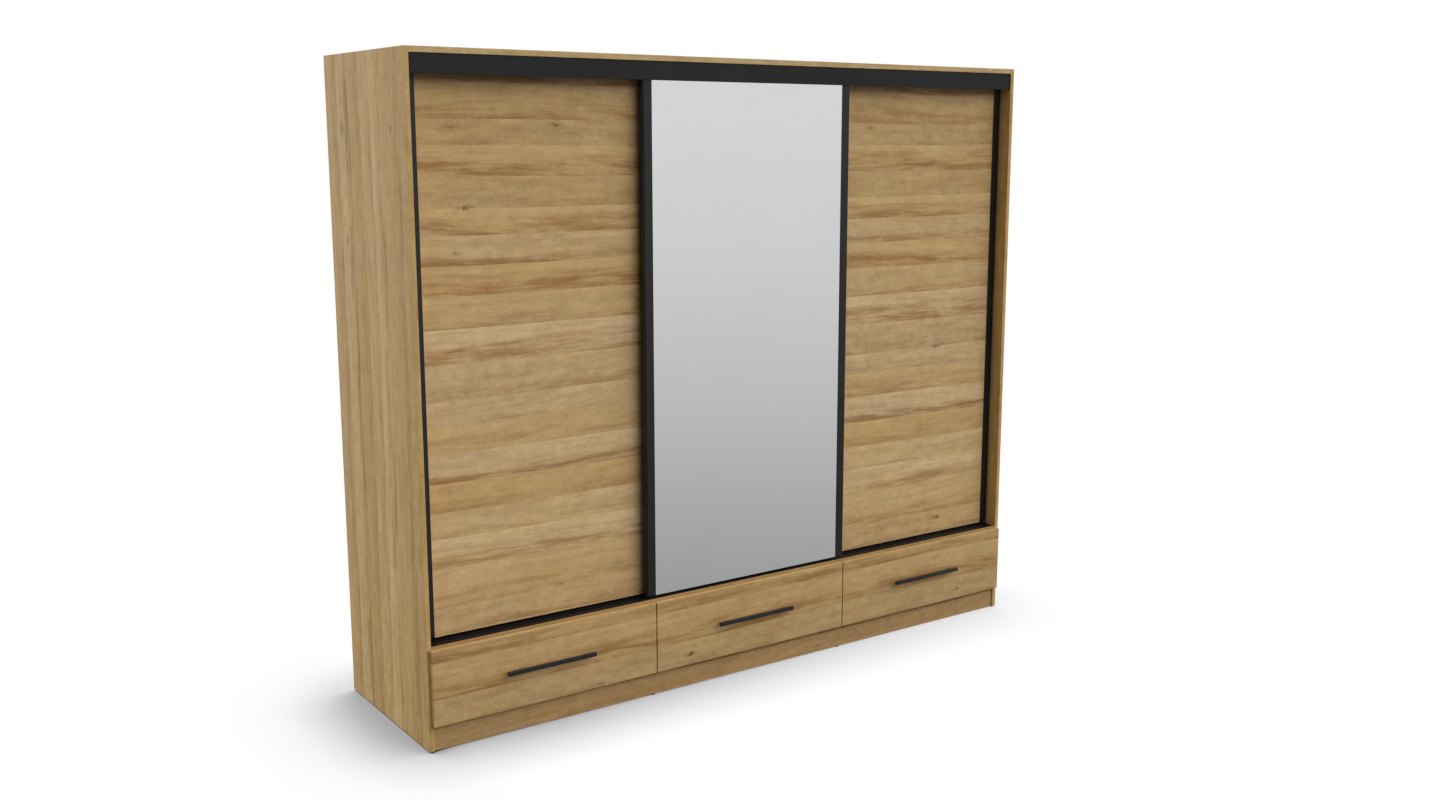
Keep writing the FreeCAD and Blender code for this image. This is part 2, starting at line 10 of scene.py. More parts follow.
import bmesh
import bpy
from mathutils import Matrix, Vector


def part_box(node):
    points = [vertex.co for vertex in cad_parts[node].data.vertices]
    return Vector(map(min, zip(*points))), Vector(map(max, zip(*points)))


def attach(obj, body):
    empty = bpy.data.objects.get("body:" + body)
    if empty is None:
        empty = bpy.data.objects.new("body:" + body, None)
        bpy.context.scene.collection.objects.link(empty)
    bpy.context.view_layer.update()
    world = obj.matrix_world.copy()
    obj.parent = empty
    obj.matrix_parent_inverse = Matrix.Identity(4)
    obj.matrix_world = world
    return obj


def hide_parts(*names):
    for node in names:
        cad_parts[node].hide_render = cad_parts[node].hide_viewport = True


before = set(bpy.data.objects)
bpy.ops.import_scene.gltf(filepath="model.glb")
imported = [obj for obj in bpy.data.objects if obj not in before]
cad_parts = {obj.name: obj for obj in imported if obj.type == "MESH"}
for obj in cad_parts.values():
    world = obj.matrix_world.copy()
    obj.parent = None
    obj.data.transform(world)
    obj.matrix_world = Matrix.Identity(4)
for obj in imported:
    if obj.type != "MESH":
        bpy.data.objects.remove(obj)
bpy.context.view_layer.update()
MM = 0.001

# %% [markdown]
# ## Camera
# A wide view from the left and a little above, as in a furniture catalogue. The lens, the place and
# the two angles come from fitting the edges of the carcass, so they are set as plain numbers. There
# is no roll and no lens shift, and depth of field stays off.

# %% Camera
scene = bpy.context.scene
bpy.ops.object.select_all(action="DESELECT")
bpy.ops.object.camera_add(location=(-2.91834, -4.26590, 1.90224),
                          rotation=(radians(90 - 10.392), 0, radians(-35.062)))
camera = bpy.context.object
camera.name = "catalogue_camera"
camera.data.sensor_width, camera.data.lens = 36, 35.599
scene.camera = camera
scene.view_settings.view_transform = "Standard"
print("lens", round(camera.data.lens, 2), "mm at", [round(c, 3) for c in camera.location])

# %% [markdown]
# ## Small helpers for materials
# A material is a graph of nodes. One function adds any node, with its settings and the links that
# feed it. Hex colours are written as a screen shows them, and one function turns them to the linear
# values that the shader needs. Pattern sizes are real sizes in millimetres: `per(40)` is how many
# 40 mm features fit in a metre.

# %% Colour, pattern size and one function that adds a node
def linear(hex_colour):
    """A screen colour such as '#c9a873' as linear red, green, blue and alpha."""
    parts = [int(hex_colour[n:n + 2], 16) / 255 for n in (1, 3, 5)]
    return [p / 12.92 if p <= 0.04045 else ((p + 0.055) / 1.055) ** 2.4 for p in parts] + [1.0]


def per(size_mm):
    return 1000.0 / size_mm


def put(tree, kind, settings=None, links=None):
    """Add a node; settings name an attribute or an input, links name an input and its source."""
    node = tree.nodes.new(kind)
    for word, value in (settings or {}).items():
        if isinstance(word, str) and hasattr(node, word):
            setattr(node, word, value)
        else:
            node.inputs[word].default_value = value
    for word, source in (links or {}).items():
        tree.links.new(source.outputs[0] if isinstance(source, bpy.types.Node) else source,
                       node.inputs[word])
    return node


def finish_called(name, rough, metal=0.0):
    """A new material with its shader; returns the material, its tree and the shader node."""
    material = bpy.data.materials.new(name)
    material.use_nodes = True
    tree = material.node_tree
    shader = tree.nodes["Principled BSDF"]
    shader.inputs["Roughness"].default_value = rough
    shader.inputs["Metallic"].default_value = metal
    return material, tree, shader


print("40 mm features in a metre:", per(40), "mid grey:", round(linear("#808080")[0], 3))

# %% [markdown]
# ## Oak-effect melamine
# The boards are chipboard with a printed décor paper pressed into melamine resin. The print shows
# planks 70 to 130 mm wide laid side by side: each has its own tone, its upper part pale and its
# lower part brown and streaky where it meets the next. Fine fibres and wavy growth lines follow the
# grain, small knots push the lines apart, and pale flecks lie across it. All of it is drawn in the
# board's own space, turned so that x runs along the grain and y across it.

# %% Directions, colours and plank width of the oak
MATH, VECTOR, NOISE = "ShaderNodeMath", "ShaderNodeVectorMath", "ShaderNodeTexNoise"
RANGE, MIX = "ShaderNodeMapRange", "ShaderNodeMix"
ALONG_X_UPRIGHT = (-pi / 2, 0, 0)     # grain along X, planks stacked along Z: doors, drawer fronts
ALONG_Z = (0, pi / 2, 0)              # grain along Z, planks side by side along Y: side panels
ALONG_X_LEVEL = (0, 0, 0)             # grain along X, planks side by side along Y: shelves, top
PALE, GOLD, BROWN, UMBER, KNOT = "#dec595", "#ccaa6d", "#a27640", "#7c5a33", "#5f4428"
PLANK_MM = 95                         # the average; a plank is 70 to 130 mm wide
print("planks in a metre of board:", round(per(PLANK_MM), 1))

# %% [markdown]
# The grain isn't straight. It drifts by some 25 mm over a metre and ripples by a few millimetres.
# Two noises, stretched along the grain, say how far it is pushed sideways at each place.

# %% Bends of the grain
BENDS = ((1300, 380, 1, 110), (170, 60, 3, 20))     # length, width, detail and reach, mostly in mm


def grain_bends(tree, board):
    """How far the grain is pushed sideways: by the slow bends, and by the ripples."""
    bends = []
    for long_mm, wide_mm, detail, reach_mm in BENDS:
        size = (per(long_mm), per(wide_mm), per(wide_mm))
        bend = put(tree, VECTOR, {"operation": "MULTIPLY", 1: size}, {0: board})
        bend = put(tree, NOISE, {"Scale": 1, "Detail": detail}, {"Vector": bend})
        bends.append(put(tree, MATH, {"operation": "MULTIPLY_ADD", 1: reach_mm * MM,
                                      2: -reach_mm / 2 * MM}, {0: bend}))
    return bends


print("largest drift of the grain in mm:", BENDS[0][3] / 2)

# %% [markdown]
# A knot is where a branch began: a dark core, a brown halo, and lines that swing round it. The board
# is cut into cells, one in three of them holds a knot at a random place, and a noise makes its
# outline ragged. Each part is a soft hill, long along the grain and narrow across it.

# %% Small ragged knots
KNOT_CELL_MM = (330, 180)
KNOT_PARTS_MM = {"push": (70, 30), "halo": (24, 6), "core": (7, 2.8)}
KNOT_CHANCE = 0.66                    # a cell whose random number is above this holds a knot


def grain_knots(tree, board):
    """How strong each part of a knot is, and how far a knot pushes the grain aside."""
    ragged = put(tree, NOISE, {"Scale": per(11), "Detail": 4}, {"Vector": board})
    ragged = put(tree, VECTOR, {"operation": "MULTIPLY_ADD", 1: (0.044, 0.024, 0),
                                2: (-0.022, -0.012, 0)}, {0: ragged.outputs["Color"]})
    spot = put(tree, VECTOR, {"operation": "ADD"}, {0: board, 1: ragged})
    along, across = KNOT_CELL_MM
    cells = put(tree, VECTOR, {"operation": "MULTIPLY", 1: (per(along), per(across), 0)}, {0: spot})
    knot = put(tree, "ShaderNodeTexVoronoi",
               {"voronoi_dimensions": "2D", "Scale": 1, "Randomness": 0.9}, {"Vector": cells})
    away = put(tree, VECTOR, {"operation": "SUBTRACT"}, {0: cells, 1: knot.outputs["Position"]})
    away = put(tree, VECTOR, {"operation": "MULTIPLY", 1: (along * MM, across * MM, 0)}, {0: away})
    lot = put(tree, "ShaderNodeSeparateXYZ", links={0: knot.outputs["Color"]})
    present = put(tree, RANGE, {"From Min": KNOT_CHANCE, "From Max": 1.0}, {"Value": lot})
    parts = {}
    for part, reach in KNOT_PARTS_MM.items():
        near = put(tree, VECTOR, {"operation": "MULTIPLY", 1: (per(reach[0]), per(reach[1]), 0)},
                   {0: away})
        near = put(tree, VECTOR, {"operation": "DOT_PRODUCT"}, {0: near, 1: near})
        near = put(tree, MATH, {"operation": "MULTIPLY", 1: -1}, {0: near.outputs["Value"]})
        near = put(tree, MATH, {"operation": "EXPONENT"}, {0: near})
        parts[part] = put(tree, MATH, {"operation": "MULTIPLY"}, {0: near, 1: present})
    side = put(tree, "ShaderNodeSeparateXYZ", links={0: away})
    push = put(tree, MATH, {"operation": "MULTIPLY"}, {0: parts["push"], 1: side.outputs[1]})
    return parts, put(tree, MATH, {"operation": "MULTIPLY", 1: -0.8}, {0: push})


print("parts of a knot, length and width in mm:", KNOT_PARTS_MM)

# %% [markdown]
# Each plank gets three random numbers of its own: for its tone, its streaks and its colour. The
# joints between planks follow the slow bends a little. The grain itself jumps at a joint, and a few
# noises, stretched along it, give the figure, streaks, lines, fibres, mottling and rays.

# %% Planks and grain
LAYERS = {"figure": (280, 66, 3), "streak": (270, 22, 5), "line": (150, 5, 3),
          "fibre": (30, 2.6, 2), "mottle": (44, 30, 4), "ray": (8, 22, 2)}     # length, width, detail


def grain_planks(tree, across, slow):
    """Each plank's random numbers, and the height inside it, counted in planks from its middle."""
    joint = put(tree, MATH, {"operation": "MULTIPLY_ADD", 1: 0.20}, {0: slow, 2: across})
    joint = put(tree, MATH, {"operation": "MULTIPLY", 1: per(PLANK_MM)}, {0: joint})
    plank = put(tree, "ShaderNodeTexVoronoi",
                {"voronoi_dimensions": "1D", "Scale": 1, "Randomness": 0.75}, {"W": joint})
    own = put(tree, "ShaderNodeSeparateXYZ", links={0: plank.outputs["Color"]}).outputs
    return own, put(tree, MATH, {"operation": "SUBTRACT"}, {0: joint, 1: plank.outputs["W"]})


def grain_layers(tree, axes, own, shifts):
    """The noises of the grain, in a space where every bend is pushed straight."""
    across = axes[1]
    for shift in shifts:
        across = put(tree, MATH, {"operation": "ADD"}, {0: across, 1: shift})
    along = put(tree, MATH, {"operation": "MULTIPLY_ADD", 1: 3.1}, {0: own[0], 2: axes[0]})
    grain = put(tree, "ShaderNodeCombineXYZ", links={0: along, 1: across, 2: axes[2]})
    layers = {}
    for layer, (long_mm, wide_mm, detail) in LAYERS.items():
        size = (per(long_mm), per(wide_mm), per(wide_mm))
        spot = put(tree, VECTOR, {"operation": "MULTIPLY", 1: size}, {0: grain})
        layers[layer] = put(tree, NOISE, {"Scale": 1, "Detail": detail, "Roughness": 0.6},
                            {"Vector": spot})
    return layers


print("layers of grain:", ", ".join(LAYERS))

# %% [markdown]
# The colour starts pale or golden, from plank to plank and in slow drifts inside one. Brown streaks
# gather in the lower part of a plank, just above its joint with the next, and fine dark lines and
# the knots are laid over them. At the end every layer lightens or darkens the print a little, and
# what is darker is also browner.

# %% Colours of the print
def blend(tree, amount, under, shade):
    """Lay a shade over a colour, by an amount."""
    return put(tree, MIX, {"data_type": "RGBA", 7: linear(shade)}, {0: amount, 6: under}).outputs[2]


def print_colour(tree, layers, own, height, knot):
    """Pale and golden planks, brown streaks, dark lines and knots."""
    gold = put(tree, MATH, {"operation": "MULTIPLY_ADD", 1: 0.75, 2: -0.30}, {0: own[2]})
    gold = put(tree, MATH, {"operation": "MULTIPLY_ADD", 1: 1.15}, {0: layers["figure"], 2: gold})
    colour = put(tree, MIX, {"data_type": "RGBA", 6: linear(PALE), 7: linear(GOLD)},
                 {0: gold}).outputs[2]
    low_part = put(tree, RANGE, {"interpolation_type": "SMOOTHSTEP", "From Min": 0.10,
                                 "From Max": -0.40}, {"Value": height})
    low_part = put(tree, MATH, {"operation": "MULTIPLY"}, {0: low_part, 1: own[1]})
    weight = put(tree, MATH, {"operation": "MULTIPLY_ADD", 1: 0.75, 2: 0.26}, {0: low_part})
    streaks = put(tree, RANGE, {"interpolation_type": "SMOOTHSTEP", "From Min": 0.40,
                                "From Max": 0.66}, {"Value": layers["streak"]})
    streaks = put(tree, MATH, {"operation": "MULTIPLY"}, {0: streaks, 1: weight})
    streaks = put(tree, MATH, {"operation": "MULTIPLY_ADD", 1: 0.30}, {0: low_part, 2: streaks})
    streaks = put(tree, MATH, {"operation": "MINIMUM", 1: 0.85}, {0: streaks})
    colour = blend(tree, streaks, colour, BROWN)
    lines = put(tree, RANGE, {"From Min": 0.54, "From Max": 0.72}, {"Value": layers["line"]})
    lines = put(tree, MATH, {"operation": "MULTIPLY"}, {0: lines, 1: weight})
    halo = put(tree, MATH, {"operation": "MULTIPLY", 1: 0.75}, {0: knot["halo"]})
    lines = put(tree, MATH, {"operation": "MULTIPLY_ADD", 1: 0.42, "use_clamp": True},
                {0: lines, 2: halo})
    colour = blend(tree, lines, colour, UMBER)
    core = put(tree, MATH, {"operation": "MULTIPLY", 1: 1.1, "use_clamp": True}, {0: knot["core"]})
    return blend(tree, core, colour, KNOT)


def print_shade(tree, layers, own, height):
    """Light and dark of the print: blue falls most in the dark parts, and red least."""
    shade = put(tree, MATH, {"operation": "MULTIPLY_ADD", 1: 0.28, 2: 0.86}, {0: own[0]})
    shade = put(tree, MATH, {"operation": "MULTIPLY_ADD", 1: 0.08}, {0: height, 2: shade})
    for layer, depth in (("figure", 0.48), ("fibre", 0.24), ("mottle", 0.56), ("ray", 0.22)):
        centred = put(tree, MATH, {"operation": "SUBTRACT", 1: 0.5}, {0: layers[layer]})
        shade = put(tree, MATH, {"operation": "MULTIPLY_ADD", 1: depth}, {0: centred, 2: shade})
    tones = [put(tree, MATH, {"operation": "POWER", 1: power}, {0: shade})
             for power in (0.80, 1.0, 1.35)]
    return put(tree, "ShaderNodeCombineXYZ", links=dict(enumerate(tones)))


print("print colours:", PALE, GOLD, BROWN, UMBER, KNOT)

# %% [markdown]
# The resin gives a satin sheen, a little rougher in the pores, over a relief of a tenth of a
# millimetre. Each board has its own piece of the print, shifted by some metres, and a tint. The doors
# are a hair brighter in red and blue. The darker tints of the drawer fronts, the plinth and the deck
# edge are painted shade, and the warmer tint of the side boards and partitions is a painted warm light.

# %% Oak décor, along any direction
def oak_melamine(name, turn, shift, tint=(1, 1, 1)):
    """Oak décor with its grain turned from X, its print shifted by some metres, and a tint; on some boards
    the tint is painted shade or a painted warm light.
    """
    material, tree, shader = finish_called(name, 0.45)
    shader.inputs["Specular IOR Level"].default_value = 0.25
    board = put(tree, "ShaderNodeTexCoord").outputs["Object"]
    board = put(tree, "ShaderNodeMapping", {"Rotation": turn, "Location": shift}, {"Vector": board})
    axes = put(tree, "ShaderNodeSeparateXYZ", links={0: board}).outputs
    slow, ripple = grain_bends(tree, board)
    knot, push = grain_knots(tree, board)
    own, height = grain_planks(tree, axes[1], slow)
    layers = grain_layers(tree, axes, own, (slow, ripple, push))
    colour = print_colour(tree, layers, own, height, knot)
    shade = print_shade(tree, layers, own, height)
    colour = put(tree, VECTOR, {"operation": "MULTIPLY"}, {0: colour, 1: shade})
    # the tint: painted shade on drawer fronts, plinth and deck edge, painted warm light on the side boards
    colour = put(tree, VECTOR, {"operation": "MULTIPLY", 1: tint}, {0: colour})
    tree.links.new(colour.outputs[0], shader.inputs["Base Color"])
    sheen = put(tree, RANGE, {"To Min": 0.40, "To Max": 0.56}, {"Value": layers["line"]})
    tree.links.new(sheen.outputs[0], shader.inputs["Roughness"])
    relief = put(tree, "ShaderNodeBump", {"Strength": 0.25, "Distance": 0.12 * MM},
                 {"Height": layers["fibre"]})
    tree.links.new(relief.outputs[0], shader.inputs["Normal"])
    return material


oak_doors = oak_melamine("oak_melamine_grain_across", ALONG_X_UPRIGHT, (0, 0, 0), (1.03, 0.99, 1.04))
# drawer fronts: a darker tint, painted shade for the dimmer light low down near the floor
oak_drawers_painted_shade = oak_melamine("oak_melamine_drawer_fronts_painted_shade", ALONG_X_UPRIGHT, (0.9, 0, 0),
                           (0.93, 0.90, 0.97))
# plinth: a darker tint, painted shade in its recess under the drawer fronts
oak_plinth_painted_shade = oak_melamine("oak_melamine_plinth_painted_shade", ALONG_X_UPRIGHT, (2.3, 0, 0), (0.77, 0.68, 0.66))
# side boards and partitions: a warmer tint, painted warm light on the side
oak_sides_painted_warm_light = oak_melamine("oak_melamine_grain_upright_painted_warm_light", ALONG_Z, (3.3, 0.7, 0), (1.06, 0.985, 0.83))
oak_level = oak_melamine("oak_melamine_grain_level", ALONG_X_LEVEL, (1.7, 5.2, 0))
# deck edge: a darker tint, painted shade in its recess above the drawers and under the track
oak_deck_painted_shade = oak_melamine("oak_melamine_deck_edge_painted_shade", ALONG_X_LEVEL, (0.6, 2.9, 0), (0.72, 0.66, 0.62))
print("oak décor nodes in one material:", len(oak_doors.node_tree.nodes))

# %% [markdown]
# ## Aluminium, steel, plastic and glass
# Black anodised aluminium is a metal with a dyed oxide skin: dark, satin, with very fine lines along
# the way it was pushed through the die. Powder coat is duller and slightly grained. Zinc plating is
# bright with a cloudy bloom, chrome is nearly a mirror, and moulded nylon is smooth and milky.

# %% Finishes for metal parts
def drawn_metal(name, shade, rough, along, metal=1.0):
    """Metal with die lines along one axis, 0.8 mm apart so that they still show from near."""
    material, tree, shader = finish_called(name, rough, metal)
    stretch = [per(0.8)] * 3
    stretch["XYZ".index(along)] = per(400)
    place = put(tree, "ShaderNodeTexCoord").outputs["Object"]
    lines = put(tree, VECTOR, {"operation": "MULTIPLY", 1: stretch}, {0: place})
    lines = put(tree, NOISE, {"Scale": 1, "Detail": 2}, {"Vector": lines})
    cloud = put(tree, NOISE, {"Scale": per(120), "Detail": 2}, {"Vector": place})
    tint = put(tree, MIX, {"data_type": "RGBA", 6: linear(shade),
                                       7: [min(1, c * 1.35) for c in linear(shade)]}, {0: cloud})
    tree.links.new(tint.outputs[2], shader.inputs["Base Color"])
    sheen = put(tree, RANGE, {"To Min": rough - 0.03, "To Max": rough + 0.03},
                {"Value": lines})
    tree.links.new(sheen.outputs[0], shader.inputs["Roughness"])
    relief = put(tree, "ShaderNodeBump", {"Strength": 0.08, "Distance": 0.00005}, {"Height": lines})
    tree.links.new(relief.outputs[0], shader.inputs["Normal"])
    return material


def grained_skin(name, shades, rough, grain_mm, depth_mm, metal=0.0):
    """A skin with a fine grain and clouds between two shades: powder coat, plating, nylon, lacquer."""
    material, tree, shader = finish_called(name, rough, metal)
    place = put(tree, "ShaderNodeTexCoord").outputs["Object"]
    grain = put(tree, NOISE, {"Scale": per(grain_mm), "Detail": 2}, {"Vector": place})
    cloud = put(tree, NOISE, {"Scale": per(60), "Detail": 3}, {"Vector": place})
    tint = put(tree, MIX, {"data_type": "RGBA", 6: linear(shades[0]), 7: linear(shades[1])},
               {0: cloud})
    tree.links.new(tint.outputs[2], shader.inputs["Base Color"])
    sheen = put(tree, RANGE, {"To Min": rough - 0.05, "To Max": rough + 0.07},
                {"Value": grain})
    tree.links.new(sheen.outputs[0], shader.inputs["Roughness"])
    relief = put(tree, "ShaderNodeBump", {"Strength": 0.3, "Distance": depth_mm * MM}, {"Height": grain})
    tree.links.new(relief.outputs[0], shader.inputs["Normal"])
    return material


black_upright = drawn_metal("black_anodised_aluminium_upright", "#383838", 0.42, "Z")
black_track = drawn_metal("black_anodised_aluminium_track", "#303030", 0.42, "X")
powder_black = grained_skin("black_powder_coat", ("#17171a", "#1f1f23"), 0.45, 0.7, 0.03)
zinc = grained_skin("zinc_plated_steel", ("#b4b6b8", "#cfd0d1"), 0.34, 3, 0.01, 1.0)
chrome = drawn_metal("chrome_plated_tube", "#d8d8da", 0.10, "X")
nylon = grained_skin("milky_nylon", ("#e4e3dc", "#f0efe9"), 0.42, 1.5, 0.02)
black_plastic = grained_skin("black_moulded_plastic", ("#1a1a1b", "#242425"), 0.5, 1.0, 0.03)
white_melamine = grained_skin("white_melamine_board", ("#e2dfd8", "#ebe8e2"), 0.48, 2.0, 0.02)
white_hardboard = grained_skin("white_lacquered_hardboard", ("#dddad2", "#e8e5de"), 0.5, 2.5, 0.04)
print("finishes so far:", len(bpy.data.materials))

# %% [markdown]
# The mirror is 4 mm float glass with a silver layer behind it. Its surface is almost perfect; only
# a faint, broad unevenness of the float glass blurs the picture in it by a hair.

# %% Finish for the mirror
silvered_glass, tree, shader = finish_called("silvered_float_glass", 0.02, 1.0)
place = put(tree, "ShaderNodeTexCoord").outputs["Object"]
haze = put(tree, NOISE, {"Scale": per(220), "Detail": 3}, {"Vector": place})
tint = put(tree, MIX, {"data_type": "RGBA", 6: linear("#f0f1f0"), 7: linear("#f5f5f5")},
           {0: haze})
tree.links.new(tint.outputs[2], shader.inputs["Base Color"])
blur = put(tree, RANGE, {"To Min": 0.01, "To Max": 0.05}, {"Value": haze})
tree.links.new(blur.outputs[0], shader.inputs["Roughness"])
print("mirror roughness 0.01 to 0.05")

# %% [markdown]
# ## Small helpers for modelling
# Each piece starts as a primitive at its real size and place, is shaped in edit mode, and ends with
# a bevel: a real board or profile has no razor edge, and the thin rounded edge is what catches light.
# An operator works on everything selected, so a helper first clears the selection and then marks
# faces or edges by a test on their place or direction.

# %% Start, mark, pull, soften, copy, hand over
def block(name, low, high):
    """A cube primitive stretched between two corners, with its place in the mesh."""
    low, high = Vector(low), Vector(high)
    bpy.ops.object.select_all(action="DESELECT")
    bpy.ops.mesh.primitive_cube_add(size=1, location=(low + high) / 2, scale=high - low)
    piece = bpy.context.object
    piece.name = piece.data.name = name
    bpy.ops.object.transform_apply(location=True, rotation=True, scale=True)
    return piece


def rod(name, centre, radius, length, turn=(0, 0, 0), sides=32):
    """A cylinder primitive along Z, or turned from it, with its place in the mesh."""
    bpy.ops.object.select_all(action="DESELECT")
    bpy.ops.mesh.primitive_cylinder_add(vertices=sides, radius=radius, depth=length,
                                        location=centre, rotation=turn)
    piece = bpy.context.object
    piece.name = piece.data.name = name
    bpy.ops.object.transform_apply(location=True, rotation=True, scale=True)
    return piece


def mark(piece, kind, test):
    """In edit mode, select only the faces or edges that pass the test."""
    bpy.ops.mesh.select_mode(type=kind)
    bpy.ops.mesh.select_all(action="DESELECT")
    mesh = bmesh.from_edit_mesh(piece.data)
    chosen = [item for item in (mesh.faces if kind == "FACE" else mesh.edges) if test(item)]
    for item in chosen:
        item.select_set(True)
    mesh.select_flush_mode()
    bmesh.update_edit_mesh(piece.data)
    return len(chosen)


def middle_of(edge):
    return (edge.verts[0].co + edge.verts[1].co) / 2


def pull(piece, spot, move):
    """Extrude the edge nearest to a spot: one more wall of a section."""
    mesh = bmesh.from_edit_mesh(piece.data)
    nearest = min(mesh.edges, key=lambda edge: (middle_of(edge) - Vector(spot)).length)
    place = middle_of(nearest).copy()
    mark(piece, "EDGE", lambda edge: (middle_of(edge) - place).length < 1e-7)
    bpy.ops.mesh.extrude_region_move(TRANSFORM_OT_translate={"value": move})


def clean(piece):
    """Merge doubles and turn every face outwards; the piece is in edit mode."""
    bpy.ops.mesh.select_all(action="SELECT")
    bpy.ops.mesh.remove_doubles(threshold=1e-6)
    bpy.ops.mesh.normals_make_consistent(inside=False)


def soften(piece, radius_mm, rings=2, angle=35):
    """Round the sharp edges with an applied Bevel that keeps the broad faces flat to the light."""
    bpy.ops.object.select_all(action="DESELECT")
    piece.select_set(True)
    bpy.context.view_layer.objects.active = piece
    bpy.ops.object.shade_smooth()
    bevel = piece.modifiers.new("rounded edges", "BEVEL")
    bevel.width, bevel.segments = radius_mm * MM, rings
    bevel.limit_method, bevel.angle_limit = "ANGLE", radians(angle)
    bevel.harden_normals = True
    bpy.ops.object.modifier_apply(modifier=bevel.name)
    return piece


def copy_of(piece, name, move=(0, 0, 0), flip_at=None):
    """A copy with its own mesh, moved, or mirrored across the plane x = flip_at."""
    twin = piece.copy()
    twin.data = piece.data.copy()
    twin.name = twin.data.name = name
    scene.collection.objects.link(twin)
    bpy.ops.object.select_all(action="DESELECT")
    twin.select_set(True)
    bpy.context.view_layer.objects.active = twin
    bpy.ops.object.mode_set(mode="EDIT")
    bpy.ops.mesh.select_all(action="SELECT")
    if flip_at is None:
        bpy.ops.transform.translate(value=move)
    else:
        bpy.ops.transform.resize(value=(-1, 1, 1), center_override=(flip_at, 0, 0))
        bpy.ops.mesh.normals_make_consistent(inside=False)
    bpy.ops.object.mode_set(mode="OBJECT")
    return twin


def hand_over(piece, body, finish, slot, *nodes):
    """Give a piece its finish, let it ride on its body, and hide the CAD nodes it stands for."""
    piece.data.materials.clear()
    piece.data.materials.append(finish)
    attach(piece, body)
    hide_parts(*nodes)
    size = [round(d / MM, 1) for d in piece.dimensions]
    print(f"{piece.name}: {len(piece.data.polygons)} faces, {size} mm, on {body}")
    return piece


def solids_of(node):
    """The boxes of one CAD node's solids, from a merged copy; solids that share a point count as one."""
    mesh = bmesh.new()
    mesh.from_mesh(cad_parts[node].data)
    bmesh.ops.remove_doubles(mesh, verts=mesh.verts, dist=1e-6)
    waiting, boxes = set(mesh.verts), []
    while waiting:
        heap, found = [waiting.pop()], []
        while heap:
            vert = heap.pop()
            found.append(vert.co)
            near = {edge.other_vert(vert) for edge in vert.link_edges} & waiting
            waiting -= near
            heap.extend(near)
        boxes.append(tuple(Vector(pick(co[n] for co in found) for n in range(3)) for pick in (min, max)))
    mesh.free()
    return sorted(boxes, key=lambda box: tuple(round(c, 4) for c in box[0]))


print("shelves in the CAD node:", len(solids_of("shelves")))

# %% [markdown]
# ## Carcass boards
# A side panel is one 16 mm board, edged with a 0.8 mm band, and grooved near its back edge for the
# hardboard sheet. The groove is made as a saw would make it: two cuts mark the strip on the inner
# face, and the strip is pushed in. It stops just short of both ends.

# %% Boards with rounded edge bands and grooves
def groove(piece, axis, low, high, facing, deep_mm, ends):
    """Push a strip of one face in: between low and high along an axis, on the side facing a way."""
    bpy.context.view_layer.objects.active = piece
    bpy.ops.object.mode_set(mode="EDIT")
    facing = Vector(facing)
    long_axis = next(n for n in range(3) if n != axis and abs(facing[n]) < 0.5)
    for cut_axis, places in ((axis, (low, high)), (long_axis, ends)):
        normal = [0, 0, 0]
        normal[cut_axis] = 1
        for place in places:
            bpy.ops.mesh.select_all(action="SELECT")
            point = [0, 0, 0]
            point[cut_axis] = place
            bpy.ops.mesh.bisect(plane_co=point, plane_no=normal)
    mark(piece, "FACE", lambda face: face.normal.dot(facing) > 0.9
         and low < face.calc_center_median()[axis] < high
         and ends[0] < face.calc_center_median()[long_axis] < ends[1])
    bpy.ops.mesh.extrude_region_move(TRANSFORM_OT_translate={"value": -facing * deep_mm * MM})
    bpy.ops.object.mode_set(mode="OBJECT")


def board(name, box, body, finish, slot, *nodes, edge=0.8):
    """A plain board between the corners of a box."""
    piece = soften(block(name, *box), edge)
    return hand_over(piece, body, finish, slot, *nodes)


GROOVE_DEEP_MM, SLACK = 6, 0.2 * MM       # how deep a saw groove is, and its slack round a sheet
sheet_low, sheet_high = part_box("back_sheets")
for side, facing in (("left", 1), ("right", -1)):
    low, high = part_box(f"{side}_side_panel")
    piece = block(f"{side}_side_board", low, high)
    groove(piece, 1, sheet_low.y - SLACK, sheet_high.y + SLACK, (facing, 0, 0), GROOVE_DEEP_MM,
           (low.z + 2 * MM, high.z - 12 * MM))
    soften(piece, 0.8)
    hand_over(piece, "carcass", oak_sides_painted_warm_light, "oak_board", f"{side}_side_panel")

low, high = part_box("top_panel")
piece = block("top_board", low, high)
groove(piece, 1, sheet_low.y - SLACK, sheet_high.y + SLACK, (0, 0, -1), GROOVE_DEEP_MM,
       (low.x + 2 * MM, high.x - 2 * MM))
hand_over(soften(piece, 0.8), "carcass", oak_level, "oak_board", "top_panel")

# %% [markdown]
# The other carcass boards are plain: the deck that carries the doors, the plinth, the base boards,
# the partitions and the shelves. One CAD node can hold several of them, so each solid is read out
# and gets a board of its own.

# %% Deck, plinth, base, partitions, shelves, back
board("deck_board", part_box("deck_panel"), "carcass", oak_deck_painted_shade, "oak_board", "deck_panel")
board("plinth_board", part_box("plinth"), "carcass", oak_plinth_painted_shade, "oak_board", "plinth", edge=0.6)
for node, name, finish, slot, edge in (
        ("base_boards", "base_board", oak_level, "oak_board", 0.5),
        ("lower_partitions", "lower_partition", oak_sides_painted_warm_light, "oak_board", 0.5),
        ("upper_partitions", "upper_partition", oak_sides_painted_warm_light, "oak_board", 0.8),
        ("shelves", "shelf", oak_level, "oak_board", 0.8),
        ("back_sheets", "back_sheet", white_hardboard, "back_sheet", 0.3)):
    for number, box in enumerate(solids_of(node), start=1):
        board(f"{name}_{number}", box, "carcass", finish, slot, node, edge=edge)

# %% [markdown]
# ## Aluminium sections
# Tracks and door profiles are extrusions: one section pushed out to a great length. They are made
# the same way here. A small rectangle is the first bit of wall; its edges are pulled out one after
# the other until the walls meet, and then the flat section is pushed along its length.

